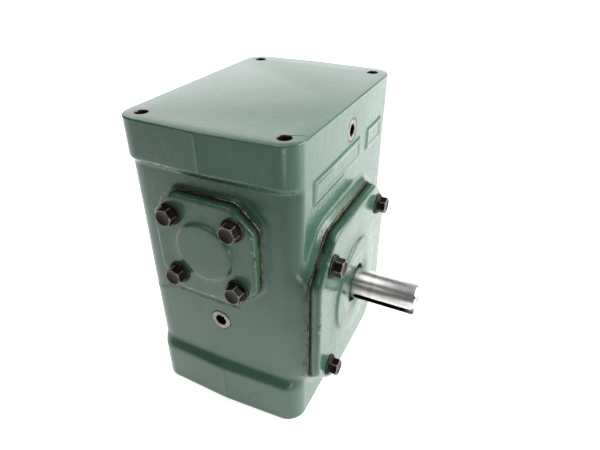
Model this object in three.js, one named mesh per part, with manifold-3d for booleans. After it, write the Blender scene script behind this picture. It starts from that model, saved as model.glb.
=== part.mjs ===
// Worm gearbox. A cast housing holds a right-hand single-start worm that runs from front to back above a
// bronze worm wheel, and the wheel's shaft leaves through the cover on the +X side.
// Millimetres, +Z up. The origin is the middle of the underside and the front of the box is -Y.

import * as THREE from 'three';
import { mergeVertices } from 'three/addons/utils/BufferGeometryUtils.js';
import Module from 'manifold-3d';

const wasm = await Module();
wasm.setup();

// ---------------------------------------------------------------- driving dimensions

const INCH = 25.4;
const FIT_GAP = 0.3; // round pieces that turn, or that stand in a hole
const FACE_GAP = 0.05; // flat faces that are clamped together

const HOUSING = {
  halfWidth: 2.5 * INCH,
  halfDepth: 3.5 * INCH,
  height: 9 * INCH,
  cornerRadius: 14.5,
  ridge: 2.2, // how far the middle of the front and of the back stands out
  setBack: 4.9, // how far the body's front and back lie behind the foot and the top band
  footTop: 33,
  bodyBottom: 41,
  bodyTop: 196,
  bandBottom: 202.5,
  edge: 0.8, // chamfer round the top face and the underside
  wall: 12,
  floor: 14,
  cavityChamfer: 22, // leaves solid corners for the tapped holes
};

const MOUNT_HOLES = { halfX: 2 * INCH, halfY: 3 * INCH, radius: 4.3, depth: 19, coneDepth: 2.6 };

const NAME_PANELS = { height: 18, z: 190, relief: 1.2, corner: 2.5, spans: [[-65, 18], [32, 66]] };

const OUTPUT_Y = -0.5 * INCH;
const OUTPUT_Z = 90.5;
const CENTRE_DISTANCE = 2.25 * INCH;
const WORM_Z = OUTPUT_Z + CENTRE_DISTANCE;

const SIDE_COVER = {
  half: 67.6,
  chamfer: 26.5,
  plate: 7.6,
  discRadius: 38.5,
  discHeight: 1.9,
  bolt: 46.5, // half the side of the square of bolts
  spigotRadius: 54 - FIT_GAP / 2,
  spigotInner: 48,
  spigotDepth: 10,
  webDepth: 4,
  bossRadius: 38,
  bossDepth: 17.2,
};

const WORM_COVER = {
  half: 1.5 * INCH,
  chamfer: 15.7,
  plate: 7,
  discRadius: 21.4,
  discHeight: 1.8,
  bolt: 23.55,
  spigotRadius: 26 - FIT_GAP / 2,
  spigotInner: 20,
  spigotDepth: 3.5,
};

const PAD = { side: 4.5, worm: 3, margin: 1 }; // raised seats under the covers
const GASKET = 0.8;
const COVER_EDGE = 1.8; // rounding of a cover's outer edge
const DISC_EDGE = 0.6; // share of a cover disc's height taken by its chamfer
const SIDE_BORE = 54;
const WORM_BORE = { radius: 26, lipRadius: 22, lip: 3, bossRadius: 34 };
const BLIND_BOSS = { radius: 38, inner: -36, floor: -52.4 }; // X of the closed bearing seat on the -X side

const BOLT = {
  shank: 3.9,
  length: 20,
  flangeRadius: 8.2,
  flangeHeight: 2.4,
  hexFlats: 11.5,
  headHeight: 8,
  coverHole: 4.35,
  tapped: 4.25,
  tappedDepth: 13,
};

const PLUG = { radius: 8, hole: 8.25, length: 12, socketFlats: 7.94, socketDepth: 7.5, chamfer: 0.8 };
const PLUG_PLACES = {
  fill: { y: 0, z: 208.8, lift: 0 },
  level: { z: 81, lift: 0.4 },
  drain: { z: 52, lift: 0 },
};

const OUTPUT_SHAFT = {
  seat: 15,
  radius: 11.9,
  start: -52.1,
  shoulder: 66.6,
  end: 126.5,
  chamfer: 1.6,
  keyWidth: 0.25 * INCH,
  keyDepth: 0.125 * INCH,
  keyStart: 80,
  keyAngle: THREE.MathUtils.degToRad(202), // from +Y towards +Z, with the shaft at rest
};

const INPUT_SHAFT = {
  seat: 12.5,
  shoulder: 15,
  sealSeat: 10,
  sealReach: 5, // how far the seal's seat passes the cover's seat
  radius: 0.3125 * INCH,
  end: 140,
  keyWidth: 0.1875 * INCH,
  keyDepth: 2.4,
  keyStart: 103,
  chamfer: 1,
  taper: 3, // length of the cone from the worm's core up to the shoulder
};

const GEAR = {
  teeth: 30,
  module: 2.8,
  pressureAngle: THREE.MathUtils.degToRad(20),
  backlash: 0.3,
  threadHalfLength: 24,
  threadTurns: 4,
  runOut: 0.3, // turns over which each end of the thread fades into the core
  halfFace: 10,
  outside: 46.4,
  rimInner: 30,
};
const WHEEL_PITCH = GEAR.teeth * GEAR.module / 2;
const WORM_PITCH = CENTRE_DISTANCE - WHEEL_PITCH;
const LEAD = Math.PI * GEAR.module;
const DEDENDUM = 1.25 * GEAR.module;

const HUB = { boss: 24, halfLength: 18, bore: OUTPUT_SHAFT.seat + FIT_GAP / 2 };
const WHEEL_KEY = { width: 8, height: 7, length: 32, seat: 4 };
const SPACER_RADIUS = 19;

const SIDE_BEARING = { bore: 30, outer: 62, width: 16, rollers: 9, pocket: 31 + FACE_GAP };
const WORM_BEARING = { bore: 25, outer: 52, width: 15, rollers: 9 };
const RACE = { cone: Math.tan(THREE.MathUtils.degToRad(12)), clearance: 0.45, rib: 1.4, ribWidth: 2.4 };
const CAGE = { half: 0.6, wideEnd: 0.4, narrowEnd: 1 }; // half its thickness, and its ends' reach

const OUTPUT_SEAL = { outer: 19, inner: 12.3, width: 7, window: 15.5 };
const INPUT_SEAL = { outer: 15, inner: 10.3, width: 7, window: 11.5 };
const SEAL_LIP = 1.4; // how far the lip stands in from the seal's ring

const ROUND = { fine: 28, medium: 20, small: 10, bolt: 8 }; // sides of round shapes

// ---------------------------------------------------------------- materials

const paint = (color, roughness, metalness) => () => (
  new THREE.MeshStandardMaterial({ color, roughness, metalness, flatShading: true })
);

const MATERIALS = {
  enamel: paint(0x5c8a7e, 0.3, 0.1),
  gasket: paint(0x6b6a45, 0.8, 0),
  blackBolt: paint(0x2c2826, 0.45, 0.7),
  plugSteel: paint(0x6f655c, 0.5, 0.8),
  groundSteel: paint(0xb9bcc0, 0.25, 1),
  bronze: paint(0xb08a4a, 0.35, 0.9),
  castIron: paint(0x5d5f60, 0.7, 0.5),
  bearingSteel: paint(0xc4c8cc, 0.2, 1),
  rubber: paint(0x191919, 0.7, 0),
};

// ---------------------------------------------------------------- solids from geometry

// A closed solid from any closed three.js geometry: shared corners merged, empty faces dropped.
function solid(geometry) {
  const bare = geometry.clone();
  bare.deleteAttribute('normal');
  bare.deleteAttribute('uv');
  const merged = mergeVertices(bare, 1e-4);
  const index = merged.index.array;
  const kept = [];
  for (let i = 0; i < index.length; i += 3) {
    const [a, b, c] = [index[i], index[i + 1], index[i + 2]];
    if (a !== b && b !== c && c !== a) kept.push(a, b, c);
  }
  const points = merged.attributes.position;
  const corner = (i) => new THREE.Vector3().fromBufferAttribute(points, i);
  let volume = 0;
  for (let i = 0; i < kept.length; i += 3) {
    volume += corner(kept[i]).dot(corner(kept[i + 1]).cross(corner(kept[i + 2])));
  }
  if (volume < 0) kept.reverse();
  return new wasm.Manifold(new wasm.Mesh({
    numProp: 3,
    vertProperties: new Float32Array(points.array),
    triVerts: new Uint32Array(kept),
  }));
}

function geometryOf(shape) {
  const { vertProperties, triVerts } = shape.getMesh();
  const geometry = new THREE.BufferGeometry();
  geometry.setAttribute('position', new THREE.BufferAttribute(vertProperties, 3));
  geometry.setIndex(new THREE.BufferAttribute(triVerts, 1));
  geometry.computeVertexNormals();
  return geometry;
}

const together = (solids) => solids.reduce((sum, next) => sum.add(next));

// Everything round is turned about Z. A profile is a list of [radius, z].
function turned(profile, sides) {
  const points = profile.map(([radius, z]) => new THREE.Vector2(radius, z));
  const lathe = new THREE.LatheGeometry([...points, points[0]], sides);
  return solid(lathe.rotateX(Math.PI / 2));
}

function bar(radius, from, to, sides) {
  return turned([[0, from], [radius, from], [radius, to], [0, to]], sides);
}

function ring(inner, outer, from, to, sides) {
  return turned([[inner, from], [outer, from], [outer, to], [inner, to]], sides);
}

function block(sizeX, sizeY, from, to) {
  const box = new THREE.BoxGeometry(sizeX, sizeY, to - from);
  return solid(box.translate(0, 0, (from + to) / 2));
}

function prism(outline, from, to) {
  const geometry = new THREE.ExtrudeGeometry(outline, {
    depth: to - from,
    bevelEnabled: false,
    curveSegments: 2,
  });
  return solid(geometry.translate(0, 0, from));
}

function hexagon(flats, from, to) {
  const corner = flats / Math.sqrt(3);
  return bar(corner, from, to, 6);
}

// ---------------------------------------------------------------- outlines

function octagon(half, chamfer) {
  const inner = half - chamfer;
  const shape = new THREE.Shape();
  shape.moveTo(half, -inner);
  shape.lineTo(half, inner);
  shape.lineTo(inner, half);
  shape.lineTo(-inner, half);
  shape.lineTo(-half, inner);
  shape.lineTo(-half, -inner);
  shape.lineTo(-inner, -half);
  shape.lineTo(inner, -half);
  shape.closePath();
  return shape;
}

function roundedRectangle(width, height, radius) {
  const x = width / 2 - radius;
  const y = height / 2 - radius;
  const shape = new THREE.Shape();
  shape.absarc(x, y, radius, 0, Math.PI / 2);
  shape.absarc(-x, y, radius, Math.PI / 2, Math.PI);
  shape.absarc(-x, -y, radius, Math.PI, 1.5 * Math.PI);
  shape.absarc(x, -y, radius, 1.5 * Math.PI, 2 * Math.PI);
  shape.closePath();
  return shape;
}

// The housing seen from above: round corners, and a front and back that rise slightly to the middle.
// Where it is set back, only the corners and what lies past them in Y are drawn in.
function housingOutline() {
  const { halfWidth, halfDepth, cornerRadius, ridge } = HOUSING;
  const x = halfWidth - cornerRadius;
  const y = halfDepth - cornerRadius;
  const shape = new THREE.Shape();
  shape.absarc(x, y, cornerRadius, 0, Math.PI / 2);
  shape.lineTo(0, halfDepth + ridge);
  shape.absarc(-x, y, cornerRadius, Math.PI / 2, Math.PI);
  shape.absarc(-x, -y, cornerRadius, Math.PI, 1.5 * Math.PI);
  shape.lineTo(0, -halfDepth - ridge);
  shape.absarc(x, -y, cornerRadius, 1.5 * Math.PI, 2 * Math.PI);
  shape.closePath();
  return shape;
}

// Levels of the housing from the underside up, each as [z, how far front and back are set back].
function housingLevels() {
  const { height, edge, footTop, bodyBottom, bodyTop, bandBottom, setBack } = HOUSING;
  const between = (from, to, share) => from + (to - from) * share;
  const step = (share) => setBack * (1 - Math.cos(Math.PI * share)) / 2;
  const shares = [0, 0.33, 0.67, 1];
  return [
    [0, edge],
    [edge, 0],
    ...shares.map((share) => [between(footTop, bodyBottom, share), step(share)]),
    ...shares.map((share) => [between(bodyTop, bandBottom, share), step(1 - share)]),
    [height - edge, 0],
    [height, edge],
  ];
}

// ---------------------------------------------------------------- frames of the four sides

// A side's frame has its origin on the machined seat of a cover, +Z pointing out of the box and +Y up.
function sideFrame(x, y, z, turn) {
  const euler = new THREE.Euler(Math.PI / 2, 0, turn, 'ZYX');
  return new THREE.Matrix4().makeRotationFromEuler(euler).setPosition(x, y, z);
}

const SIDE_SEAT = HOUSING.halfWidth + PAD.side;
const WORM_SEAT = HOUSING.halfDepth - HOUSING.setBack + PAD.worm;
const BODY_MIDDLE = HOUSING.halfDepth - HOUSING.setBack
  + HOUSING.ridge * (1 - HOUSING.setBack / HOUSING.cornerRadius);

const FRAMES = {
  output: sideFrame(SIDE_SEAT, OUTPUT_Y, OUTPUT_Z, Math.PI / 2),
  front: sideFrame(0, -WORM_SEAT, WORM_Z, 0),
  rear: sideFrame(0, WORM_SEAT, WORM_Z, Math.PI),
  fill: sideFrame(HOUSING.halfWidth, PLUG_PLACES.fill.y, PLUG_PLACES.fill.z, Math.PI / 2),
  level: sideFrame(0, -BODY_MIDDLE, PLUG_PLACES.level.z, 0),
  drain: sideFrame(0, BODY_MIDDLE, PLUG_PLACES.drain.z, Math.PI),
  wheel: sideFrame(0, OUTPUT_Y, OUTPUT_Z, Math.PI / 2),
  worm: sideFrame(0, OUTPUT_Y, WORM_Z, Math.PI),
};

const placed = (shape, frame) => shape.transform(frame.elements);

function squareOf(half) {
  return [[half, half], [-half, half], [-half, -half], [half, -half]];
}

// ---------------------------------------------------------------- housing

function housingBlank() {
  const levels = housingLevels();
  const steps = levels.length - 1;
  const geometry = new THREE.ExtrudeGeometry(housingOutline(), {
    depth: steps,
    steps,
    bevelEnabled: false,
    curveSegments: 3,
  });
  const points = geometry.attributes.position;
  const cornerStart = HOUSING.halfDepth - HOUSING.cornerRadius;
  for (let i = 0; i < points.count; i += 1) {
    const [z, inward] = levels[Math.round(points.getZ(i))];
    const y = points.getY(i);
    const past = Math.max(Math.abs(y) - cornerStart, 0);
    points.setY(i, y - Math.sign(y) * past * inward / HOUSING.cornerRadius);
    points.setZ(i, z);
  }
  return solid(geometry);
}

function coverSeat(cover, rise) {
  const margin = PAD.margin;
  const outline = octagon(cover.half + margin, cover.chamfer);
  return prism(outline, -rise, 0);
}

function namePanels() {
  const { spans, height, z, relief, corner } = NAME_PANELS;
  return spans.map(([from, to]) => {
    const panel = prism(roundedRectangle(to - from, height, corner), -1, relief);
    return placed(panel, sideFrame(HOUSING.halfWidth, (from + to) / 2, z, Math.PI / 2));
  });
}

function mountHoles() {
  const { halfX, halfY, radius, depth, coneDepth } = MOUNT_HOLES;
  const { height } = HOUSING;
  const down = turned([[0, 1], [radius, 1], [radius, -depth], [0, -depth - coneDepth]], ROUND.small);
  const up = down.rotate([180, 0, 0]);
  const corners = [[halfX, halfY], [-halfX, halfY], [-halfX, -halfY], [halfX, -halfY]];
  return corners.flatMap(([x, y]) => [down.translate([x, y, height]), up.translate([x, y, 0])]);
}

function boltHoles(cover, frame) {
  return squareOf(cover.bolt).map(([x, y]) => {
    const hole = bar(BOLT.tapped, -BOLT.tappedDepth, 1, ROUND.bolt);
    return placed(hole.translate([x, y, 0]), frame);
  });
}

function cavity() {
  const { halfWidth, halfDepth, setBack, wall, floor, height, cavityChamfer } = HOUSING;
  const x = halfWidth - wall;
  const y = halfDepth - setBack - wall;
  const shape = new THREE.Shape();
  shape.moveTo(x, cavityChamfer - y);
  shape.lineTo(x, y - cavityChamfer);
  shape.lineTo(x - cavityChamfer, y);
  shape.lineTo(cavityChamfer - x, y);
  shape.lineTo(-x, y - cavityChamfer);
  shape.lineTo(-x, cavityChamfer - y);
  shape.lineTo(cavityChamfer - x, -y);
  shape.lineTo(x - cavityChamfer, -y);
  shape.closePath();
  return prism(shape, floor, height - floor);
}

// A bearing seat in the front or back wall: a bore with a lip on its inner side.
function wormBoss() {
  const depth = WORM_COVER.spigotDepth + WORM_BEARING.width + WORM_BORE.lip;
  return bar(WORM_BORE.bossRadius, -depth, -HOUSING.wall, ROUND.medium);
}

function wormBore() {
  const seat = WORM_COVER.spigotDepth + WORM_BEARING.width;
  const { radius, lipRadius, lip } = WORM_BORE;
  return turned([[0, 1], [radius, 1], [radius, -seat], [lipRadius, -seat],
    [lipRadius, -seat - lip - 1], [0, -seat - lip - 1]], ROUND.fine);
}

function housing() {
  const sideBore = bar(SIDE_BORE, -SIDE_COVER.bossDepth - 1, 1, ROUND.fine);
  const plugHole = bar(PLUG.hole, -HOUSING.wall - HOUSING.ridge - 1, 1, ROUND.small);
  const added = together([
    housingBlank(),
    placed(coverSeat(SIDE_COVER, PAD.side + 1), FRAMES.output),
    placed(coverSeat(WORM_COVER, PAD.worm + 1), FRAMES.front),
    placed(coverSeat(WORM_COVER, PAD.worm + 1), FRAMES.rear),
    ...namePanels(),
  ]);
  const hollowed = added.subtract(cavity());
  const bossed = together([
    hollowed,
    placed(wormBoss(), FRAMES.front),
    placed(wormBoss(), FRAMES.rear),
    placed(bar(BLIND_BOSS.radius, -HOUSING.halfWidth + 1, BLIND_BOSS.inner, ROUND.fine), FRAMES.wheel),
  ]);
  const blindPocket = bar(SIDE_BEARING.pocket, BLIND_BOSS.floor, BLIND_BOSS.inner + 1, ROUND.fine);
  return bossed.subtract(together([
    placed(sideBore, FRAMES.output),
    placed(blindPocket, FRAMES.wheel),
    placed(wormBore(), FRAMES.front),
    placed(wormBore(), FRAMES.rear),
    placed(plugHole, FRAMES.fill),
    placed(plugHole, FRAMES.level),
    placed(plugHole, FRAMES.drain),
    ...mountHoles(),
    ...boltHoles(SIDE_COVER, FRAMES.output),
    ...boltHoles(WORM_COVER, FRAMES.front),
    ...boltHoles(WORM_COVER, FRAMES.rear),
  ]));
}

// ---------------------------------------------------------------- covers, in a side's frame

const coverBack = GASKET + FACE_GAP;

function coverPlate(cover) {
  const front = coverBack + cover.plate;
  const geometry = new THREE.ExtrudeGeometry(octagon(cover.half, cover.chamfer), {
    depth: cover.plate,
    bevelThickness: COVER_EDGE,
    bevelSize: COVER_EDGE,
    bevelOffset: -COVER_EDGE,
    bevelSegments: 2,
  });
  const rounded = solid(geometry.translate(0, 0, coverBack - COVER_EDGE));
  const below = block(4 * cover.half, 4 * cover.half, coverBack - 2 * cover.plate, coverBack);
  const disc = turned([
    [0, coverBack + 1],
    [cover.discRadius, coverBack + 1],
    [cover.discRadius, front + cover.discHeight * DISC_EDGE],
    [cover.discRadius - cover.discHeight * DISC_EDGE, front + cover.discHeight],
    [0, front + cover.discHeight],
  ], ROUND.fine);
  return rounded.subtract(below).add(disc);
}

function coverHoles(cover) {
  return squareOf(cover.bolt).map(([x, y]) => (
    bar(BOLT.coverHole, -1, coverBack + cover.plate + 1, ROUND.bolt).translate([x, y, 0])
  ));
}

// The turned back of a side cover: a spigot in the housing bore and a boss with the bearing pocket.
function sideCoverBack() {
  const { spigotRadius, spigotInner, spigotDepth, webDepth, bossRadius, bossDepth } = SIDE_COVER;
  return turned([
    [0, coverBack + 1],
    [0, -bossDepth],
    [bossRadius, -bossDepth],
    [bossRadius, -webDepth],
    [spigotInner, -webDepth],
    [spigotInner, -spigotDepth],
    [spigotRadius, -spigotDepth],
    [spigotRadius, coverBack + 1],
  ], ROUND.fine);
}

const sidePocketFloor = SIDE_BEARING.width - SIDE_COVER.bossDepth + FACE_GAP;

function sideCover() {
  const { discHeight, plate, bossDepth } = SIDE_COVER;
  const top = coverBack + plate + discHeight + 1;
  const sealTop = sidePocketFloor + OUTPUT_SEAL.width + FIT_GAP;
  const cuts = together([
    bar(SIDE_BEARING.pocket, -bossDepth - 1, sidePocketFloor, ROUND.fine),
    bar(OUTPUT_SEAL.outer + FACE_GAP, sidePocketFloor - 1, sealTop, ROUND.medium),
    bar(OUTPUT_SEAL.window, sealTop - 1, top, ROUND.medium),
    ...coverHoles(SIDE_COVER),
  ]);
  return coverPlate(SIDE_COVER).add(sideCoverBack()).subtract(cuts);
}

function wormCover(withShaft) {
  const { spigotRadius, spigotInner, spigotDepth, plate, discHeight } = WORM_COVER;
  const spigotEnd = FIT_GAP - spigotDepth;
  const inner = withShaft ? INPUT_SEAL.outer - 1 : spigotInner;
  const spigot = ring(inner, spigotRadius, spigotEnd, coverBack + 1, ROUND.fine);
  const cuts = coverHoles(WORM_COVER);
  if (withShaft) {
    const sealTop = spigotEnd + INPUT_SEAL.width + FIT_GAP;
    cuts.push(bar(INPUT_SEAL.outer + FACE_GAP, spigotEnd - 1, sealTop, ROUND.medium));
    cuts.push(bar(INPUT_SEAL.window, sealTop - 1, coverBack + plate + discHeight + 1, ROUND.medium));
  }
  return coverPlate(WORM_COVER).add(spigot).subtract(together(cuts));
}

function gasket(cover, bore) {
  const holes = squareOf(cover.bolt).map(([x, y]) => (
    bar(BOLT.coverHole, -1, 2, ROUND.bolt).translate([x, y, 0])
  ));
  const sheet = prism(octagon(cover.half + 0.4, cover.chamfer), FACE_GAP, GASKET);
  return sheet.subtract(together([bar(bore, -1, 2, ROUND.fine), ...holes]));
}

// A flanged hexagon bolt whose flange rests on z = 0.
function flangeBolt() {
  const { shank, length, flangeRadius, flangeHeight, hexFlats, headHeight } = BOLT;
  const stem = turned([
    [0, -length],
    [shank, -length],
    [shank, 0],
    [flangeRadius, 0],
    [flangeRadius, flangeHeight / 2],
    [hexFlats / 2, flangeHeight],
    [0, flangeHeight],
  ], ROUND.bolt);
  return stem.add(hexagon(hexFlats, flangeHeight / 2, headHeight));
}

// A pipe plug with a hexagon socket, its outer face on z = 0.
function pipePlug() {
  const { radius, length, socketFlats, socketDepth, chamfer } = PLUG;
  const body = turned([
    [0, -length],
    [radius - 0.5, -length],
    [radius, -chamfer],
    [radius - chamfer, 0],
    [0, 0],
  ], ROUND.small);
  return body.subtract(hexagon(socketFlats, -socketDepth, 1));
}

// A lip seal: a ring whose inner edge comes to a lip.
function lipSeal({ outer, inner, width }) {
  return turned([
    [outer, 0],
    [outer, width],
    [inner + SEAL_LIP, width],
    [inner, width / 2],
    [inner + SEAL_LIP, 0],
  ], ROUND.medium);
}

// ---------------------------------------------------------------- gears

const involute = (angle) => Math.tan(angle) - angle;

// Half the angle between two teeth of the wheel at a radius.
function halfSpace(radius) {
  const base = WHEEL_PITCH * Math.cos(GEAR.pressureAngle);
  const here = radius > base ? Math.acos(base / radius) : 0;
  const even = Math.PI / (2 * GEAR.teeth);
  const slack = GEAR.backlash / (2 * WHEEL_PITCH);
  return even - involute(GEAR.pressureAngle) + involute(here) + slack;
}

function toothSpace() {
  const root = WHEEL_PITCH - DEDENDUM;
  const top = GEAR.outside + 1;
  const radii = [root, WHEEL_PITCH, top];
  const up = Math.PI / 2;
  const at = (radius, angle) => new THREE.Vector2(radius * Math.cos(angle), radius * Math.sin(angle));
  const right = radii.map((radius) => at(radius, up - halfSpace(radius)));
  const left = radii.map((radius) => at(radius, up + halfSpace(radius))).reverse();
  const length = 2 * GEAR.halfFace + 2;
  const geometry = new THREE.ExtrudeGeometry(new THREE.Shape([...right, ...left]), {
    depth: length,
    steps: 1,
    bevelEnabled: false,
  });
  geometry.translate(0, 0, -length / 2);
  const twistPerLength = LEAD / (2 * Math.PI * WORM_PITCH * WHEEL_PITCH);
  const points = geometry.attributes.position;
  for (let i = 0; i < points.count; i += 1) {
    const turn = points.getZ(i) * twistPerLength;
    const x = points.getX(i);
    const y = points.getY(i);
    points.setX(i, x * Math.cos(turn) - y * Math.sin(turn));
    points.setY(i, x * Math.sin(turn) + y * Math.cos(turn));
  }
  return solid(geometry);
}

// The bronze rim. Its throat follows the worm, one gear clearance off the worm's core.
function wormWheel() {
  const { teeth, halfFace, outside, rimInner, module } = GEAR;
  const throat = CENTRE_DISTANCE - WHEEL_PITCH - module;
  const reach = Math.sqrt(throat ** 2 - (CENTRE_DISTANCE - outside) ** 2);
  const arc = [-1, 0, 1].map((share) => [
    CENTRE_DISTANCE - Math.sqrt(throat ** 2 - (reach * share) ** 2),
    reach * share,
  ]);
  const blank = turned([
    [rimInner, -halfFace],
    [outside - 1, -halfFace],
    [outside, -halfFace + 1],
    ...arc,
    [outside, halfFace - 1],
    [outside - 1, halfFace],
    [rimInner, halfFace],
  ], teeth);
  const space = toothSpace();
  const spaces = Array.from({ length: teeth }, (_, i) => space.rotate([0, 0, i * 360 / teeth]));
  return blank.subtract(together(spaces));
}

function wheelHub() {
  const { boss, halfLength, bore } = HUB;
  const { halfFace, rimInner, teeth } = GEAR;
  const body = turned([
    [bore, -halfLength],
    [boss, -halfLength],
    [boss, -halfFace],
    [rimInner - FACE_GAP, -halfFace],
    [rimInner - FACE_GAP, halfFace],
    [boss, halfFace],
    [boss, halfLength],
    [bore, halfLength],
  ], teeth);
  const { width, height, seat } = WHEEL_KEY;
  const top = OUTPUT_SHAFT.seat - seat + height + FIT_GAP;
  const slot = block(width + 2 * FACE_GAP, top, -halfLength - 1, halfLength + 1).translate([0, top / 2, 0]);
  return body.subtract(slot);
}

function wheelKey() {
  const { width, height, length, seat } = WHEEL_KEY;
  const bottom = OUTPUT_SHAFT.seat - seat + FACE_GAP;
  return block(width, height, -length / 2, length / 2).translate([0, bottom + height / 2, 0]);
}

function outputShaft() {
  const { seat, radius, start, shoulder, end, chamfer } = OUTPUT_SHAFT;
  const body = turned([
    [0, start],
    [seat - 1, start],
    [seat, start + 1],
    [seat, shoulder],
    [radius, shoulder],
    [radius, end - chamfer],
    [radius - chamfer, end],
    [0, end],
  ], ROUND.medium);
  const { width, length, seat: depth } = WHEEL_KEY;
  const half = (length + FIT_GAP) / 2;
  const keySeat = block(width + 2 * FACE_GAP, 2 * depth, -half, half).translate([0, seat, 0]);
  const { keyWidth, keyDepth, keyStart, keyAngle } = OUTPUT_SHAFT;
  const slot = block(2 * keyDepth, keyWidth, keyStart, end + 1).translate([radius, 0, 0]);
  return body.subtract(keySeat).subtract(slot.rotate([0, 0, THREE.MathUtils.radToDeg(keyAngle)]));
}

// The worm thread: a straight bar of trapezium section wound on the core, its ends fading into it.
function wormThread() {
  const { module, pressureAngle, backlash, threadTurns, runOut } = GEAR;
  const rootRadius = WORM_PITCH - DEDENDUM;
  const buried = rootRadius - 1;
  const tip = WORM_PITCH + module;
  const halfAt = (radius) => LEAD / 4 - backlash / 4 - (radius - WORM_PITCH) * Math.tan(pressureAngle);
  const section = new THREE.Shape([
    new THREE.Vector2(-halfAt(buried), buried),
    new THREE.Vector2(halfAt(buried), buried),
    new THREE.Vector2(halfAt(tip), tip),
    new THREE.Vector2(-halfAt(tip), tip),
  ]);
  const steps = Math.round(threadTurns * 12);
  const geometry = new THREE.ExtrudeGeometry(section, { depth: threadTurns, steps, bevelEnabled: false });
  geometry.translate(0, 0, -threadTurns / 2);
  const points = geometry.attributes.position;
  const down = -Math.PI / 2;
  for (let i = 0; i < points.count; i += 1) {
    const turns = points.getZ(i);
    const height = Math.min(1, (threadTurns / 2 - Math.abs(turns)) / runOut);
    const radius = buried + (points.getY(i) - buried) * Math.max(height, 0.02);
    const angle = down + 2 * Math.PI * turns;
    points.setXYZ(i, radius * Math.cos(angle), radius * Math.sin(angle), points.getX(i) + LEAD * turns);
  }
  return solid(geometry);
}

function wormShaft() {
  const { seat, shoulder, sealSeat, radius, end } = INPUT_SHAFT;
  const { taper, chamfer, keyWidth, keyDepth, keyStart } = INPUT_SHAFT;
  const core = WORM_PITCH - DEDENDUM;
  const half = GEAR.threadHalfLength;
  const local = (y) => y - OUTPUT_Y;
  const shoulderEnd = WORM_SEAT - WORM_COVER.spigotDepth - WORM_BEARING.width - FACE_GAP;
  const seatEnd = WORM_SEAT - WORM_COVER.spigotDepth;
  const sealEnd = WORM_SEAT + INPUT_SHAFT.sealReach;
  const body = turned([
    [0, local(-seatEnd)],
    [seat - 1, local(-seatEnd)],
    [seat, local(-seatEnd) + 1],
    [seat, local(-shoulderEnd)],
    [shoulder, local(-shoulderEnd)],
    [shoulder, -half - taper],
    [core, -half],
    [core, half],
    [shoulder, half + taper],
    [shoulder, local(shoulderEnd)],
    [seat, local(shoulderEnd)],
    [seat, local(seatEnd)],
    [sealSeat, local(seatEnd)],
    [sealSeat, local(sealEnd)],
    [radius, local(sealEnd) + 1],
    [radius, local(end) - chamfer],
    [radius - chamfer, local(end)],
    [0, local(end)],
  ], ROUND.medium);
  const slot = block(keyWidth, 2 * keyDepth, local(keyStart), local(end) + 1).translate([0, radius, 0]);
  return body.add(wormThread()).subtract(slot);
}

// ---------------------------------------------------------------- bearings, centred on their width

function bearingSizes({ bore, outer, width }) {
  const middle = (bore + outer) / 4;
  const roller = (outer - bore) / 2 * 0.175;
  return { middle, roller, half: width / 2 };
}

function innerRing(bearing) {
  const { middle, roller, half } = bearingSizes(bearing);
  const race = (z) => middle - roller - RACE.clearance + RACE.cone * z;
  const inner = bearing.bore / 2 + FACE_GAP;
  const ribStart = half - RACE.ribWidth;
  return turned([
    [inner, -half],
    [race(-half), -half],
    [race(ribStart), ribStart],
    [race(ribStart) + RACE.rib, ribStart],
    [race(ribStart) + RACE.rib, half],
    [inner, half],
  ], ROUND.medium);
}

function outerRing(bearing) {
  const { middle, roller, half } = bearingSizes(bearing);
  const race = (z) => middle + roller + RACE.clearance + RACE.cone * z;
  const outer = bearing.outer / 2 - FACE_GAP;
  return turned([
    [race(1 - half), 1 - half],
    [outer, 1 - half],
    [outer, half],
    [race(half), half],
  ], ROUND.fine);
}

// Tapered rollers held by a conical cage, as one body.
function rollerCage(bearing) {
  const { middle, roller, half } = bearingSizes(bearing);
  const halfRoller = half - RACE.ribWidth - CAGE.half;
  const lowEnd = -halfRoller - CAGE.narrowEnd;
  const highEnd = halfRoller - CAGE.wideEnd;
  const cone = (z, off) => middle + off + RACE.cone * z;
  const cage = turned([
    [cone(lowEnd, -CAGE.half), lowEnd],
    [cone(lowEnd, CAGE.half), lowEnd],
    [cone(highEnd, CAGE.half), highEnd],
    [cone(highEnd, -CAGE.half), highEnd],
  ], ROUND.medium);
  const taper = RACE.cone * halfRoller * roller / middle;
  const barrel = new THREE.CylinderGeometry(roller + taper, roller - taper, 2 * halfRoller, 6);
  barrel.rotateX(Math.PI / 2);
  barrel.rotateY(Math.atan(RACE.cone));
  barrel.translate(middle, 0, -0.5);
  const one = solid(barrel);
  const pitch = 360 / bearing.rollers;
  const all = Array.from({ length: bearing.rollers }, (_, i) => one.rotate([0, 0, i * pitch]));
  return together([cage, ...all]);
}

// ---------------------------------------------------------------- assembly

const gearbox = new THREE.Group();

function addMesh(group, name, shape, material, z = 0) {
  const mesh = new THREE.Mesh(geometryOf(shape), material());
  mesh.name = name;
  mesh.position.z = z;
  group.add(mesh);
  return mesh;
}

function addFrame(frame) {
  const group = new THREE.Group();
  group.applyMatrix4(frame);
  gearbox.add(group);
  return group;
}

function addCover(frame, name, cover, coverSolid, bore) {
  const group = addFrame(frame);
  addMesh(group, `${name}_cover`, coverSolid, MATERIALS.enamel);
  addMesh(group, `${name}_gasket`, gasket(cover, bore), MATERIALS.gasket);
  squareOf(cover.bolt).forEach(([x, y], i) => {
    const bolt = addMesh(group, `${name}_cover_bolt_${i + 1}`, flangeBolt(), MATERIALS.blackBolt);
    bolt.position.set(x, y, coverBack + cover.plate + FACE_GAP);
  });
  return group;
}

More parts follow.
